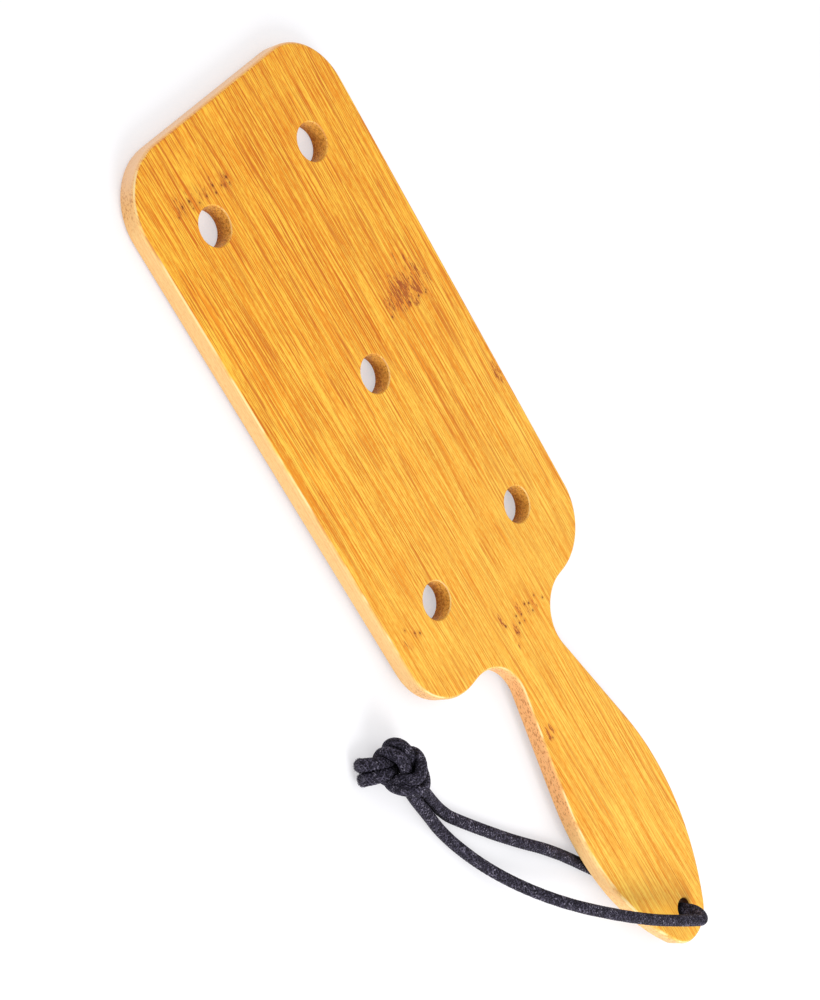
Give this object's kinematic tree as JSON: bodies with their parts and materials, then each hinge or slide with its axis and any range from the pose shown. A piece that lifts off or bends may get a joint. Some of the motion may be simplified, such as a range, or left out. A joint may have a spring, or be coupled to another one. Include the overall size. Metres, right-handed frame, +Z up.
{
  "type": "bamboo paddle",
  "caption": "Narrow flat bamboo paddle of edge-glued staves, with large round air holes, a swelling handle and a knotted wrist cord through its end.",
  "frame": {"origin": "centre of the board's bounding box, at the level of the table that the tip's lower edge rests on", "axes": "+Y from the handle's end to the blade's tip, +Z up out of the face that shows, +X across the blade to the right when the tip points away"},
  "size_m": [0.1225, 0.3002, 0.0204],
  "materials": {
    "bamboo": "oiled bamboo with a soft gloss",
    "cord": "black waxed braided cord"
  },
  "bodies": {
    "board": {"left_edge_stave": "bamboo", "left_stave": "bamboo", "centre_stave": "bamboo", "right_stave": "bamboo", "right_handle_stave": "bamboo", "right_edge_stave": "bamboo"},
    "wrist_loop": {"cord_over_handle": "cord", "cord_under_handle": "cord", "knot_inner_strand": "cord", "knot_outer_strand": "cord"}
  },
  "joints": [
    {"name": "cord_swing", "type": "hinge", "parent": "board", "child": "wrist_loop", "pos_m": [0, -0.1394, 0.0073], "axis": [0, 0, 1], "range_deg": [0, 250]}
  ]
}
